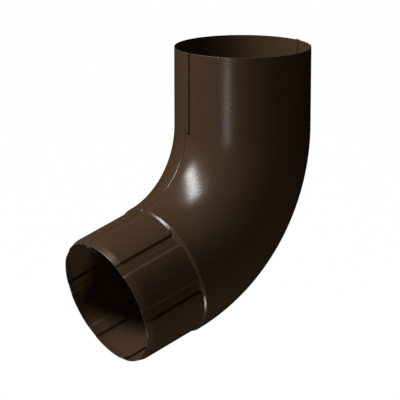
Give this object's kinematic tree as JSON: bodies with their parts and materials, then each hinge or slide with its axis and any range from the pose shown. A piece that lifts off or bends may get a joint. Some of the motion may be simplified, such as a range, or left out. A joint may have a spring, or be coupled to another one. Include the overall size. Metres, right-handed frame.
{
  "type": "downspout elbow",
  "caption": "Elbow for a round metal rainwater pipe: a plain socket above, a smooth bend with lock seams, and a smaller fluted spigot that enters the pipe below.",
  "frame": {"origin": "centre of the socket's mouth, on the socket's axis", "axes": "+Z out of the socket's mouth along its axis, -Y the way the spigot leaves, X across the bend's plane with the right half shell at +X"},
  "size_m": [0.09, 0.1697, 0.1966],
  "materials": {
    "painted_steel": "satin"
  },
  "bodies": {
    "root": {"right_half_shell": "painted_steel", "left_half_shell": "painted_steel"}
  },
  "joints": []
}
